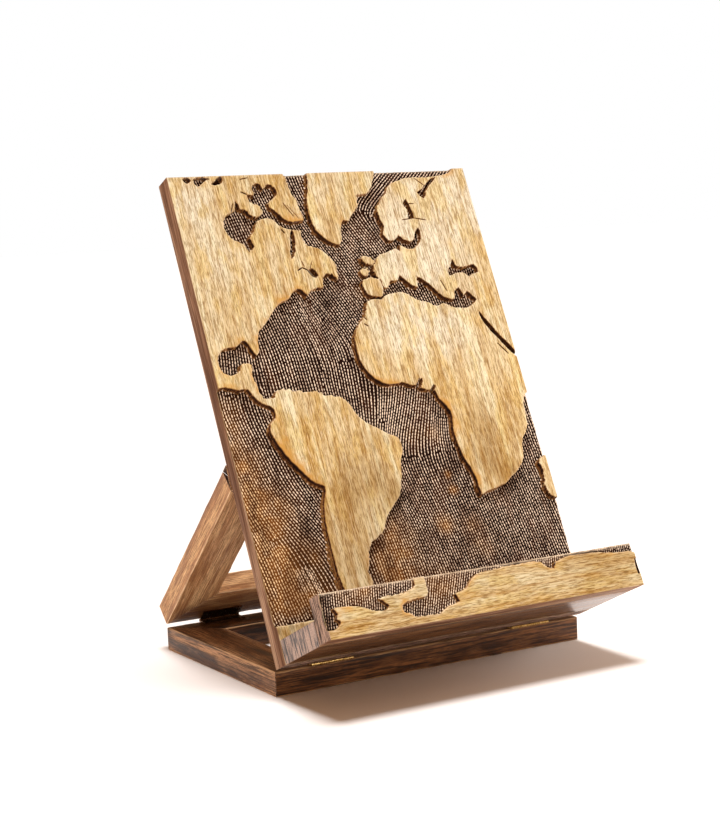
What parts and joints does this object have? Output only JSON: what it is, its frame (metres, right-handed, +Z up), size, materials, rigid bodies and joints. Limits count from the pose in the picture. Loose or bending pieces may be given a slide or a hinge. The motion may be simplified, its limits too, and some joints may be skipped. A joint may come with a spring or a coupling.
{
  "type": "quran stand",
  "caption": "Folding wooden book stand: mitred base frame, leaning panel carved with a world map, ledge with a carved front fence, hinged strut frame behind.",
  "frame": {"origin": "centre of the open stand's footprint, on the table", "axes": "+Z up, +X to the reader's right, the reader sits towards -Y"},
  "size_m": [0.254, 0.264, 0.3521],
  "materials": {
    "carved_wood": "light wood, flat raised land with a dark stained, gouge-dotted sea",
    "ledge_wood": "satin brown stain, end grain greyish",
    "base_wood": "dark walnut stain, worn lighter along the edges",
    "strut_wood": "brown stain, lighter on the sides",
    "dowel_wood": "plain beech, hidden inside the joints",
    "brass": "satin brass"
  },
  "bodies": {
    "base": {"base_corner_dowel_1": "dowel_wood", "base_corner_dowel_2": "dowel_wood", "base_corner_dowel_3": "dowel_wood", "base_corner_dowel_4": "dowel_wood", "base_front_rail": "base_wood", "base_left_rail": "base_wood", "base_rear_rail": "base_wood", "base_right_rail": "base_wood", "front_hinge_base_leaf_left": "brass", "front_hinge_base_leaf_right": "brass", "front_hinge_base_screw_left_1": "brass", "front_hinge_base_screw_left_2": "brass", "front_hinge_base_screw_right_1": "brass", "front_hinge_base_screw_right_2": "brass", "front_hinge_pin_left": "brass", "front_hinge_pin_right": "brass", "rear_hinge_base_leaf_left": "brass", "rear_hinge_base_leaf_right": "brass", "rear_hinge_base_screw_left_1": "brass", "rear_hinge_base_screw_left_2": "brass", "rear_hinge_base_screw_right_1": "brass", "rear_hinge_base_screw_right_2": "brass", "rear_hinge_pin_left": "brass", "rear_hinge_pin_right": "brass"},
    "panel": {"fence_dowel_1": "dowel_wood", "fence_dowel_2": "dowel_wood", "fence_dowel_3": "dowel_wood", "front_fence": "carved_wood", "front_hinge_panel_leaf_left": "brass", "front_hinge_panel_leaf_right": "brass", "front_hinge_panel_screw_left_1": "brass", "front_hinge_panel_screw_left_2": "brass", "front_hinge_panel_screw_right_1": "brass", "front_hinge_panel_screw_right_2": "brass", "ledge_board": "ledge_wood", "ledge_dowel_1": "dowel_wood", "ledge_dowel_2": "dowel_wood", "ledge_dowel_3": "dowel_wood", "ledge_dowel_4": "dowel_wood", "reading_panel": "carved_wood"},
    "strut": {"rear_hinge_strut_leaf_left": "brass", "rear_hinge_strut_leaf_right": "brass", "rear_hinge_strut_screw_left_1": "brass", "rear_hinge_strut_screw_left_2": "brass", "rear_hinge_strut_screw_right_1": "brass", "rear_hinge_strut_screw_right_2": "brass", "strut_bottom_rail": "strut_wood", "strut_corner_dowel_1": "dowel_wood", "strut_corner_dowel_2": "dowel_wood", "strut_corner_dowel_3": "dowel_wood", "strut_corner_dowel_4": "dowel_wood", "strut_left_stile": "strut_wood", "strut_right_stile": "strut_wood", "strut_top_rail": "strut_wood"}
  },
  "joints": [
    {"name": "panel_fold", "type": "hinge", "parent": "base", "child": "panel", "pos_m": [0, -0.05355, 0.0182], "axis": [-1, 0, 0], "range_deg": [0, 64.5]},
    {"name": "strut_fold", "type": "hinge", "parent": "base", "child": "strut", "pos_m": [0, 0.11976, 0.0182], "axis": [-1, 0, 0], "range_deg": [0, 136]}
  ],
  "couplings": [
    {"joint": "strut_fold", "follows": "panel_fold", "ratio": 2.1085}
  ]
}
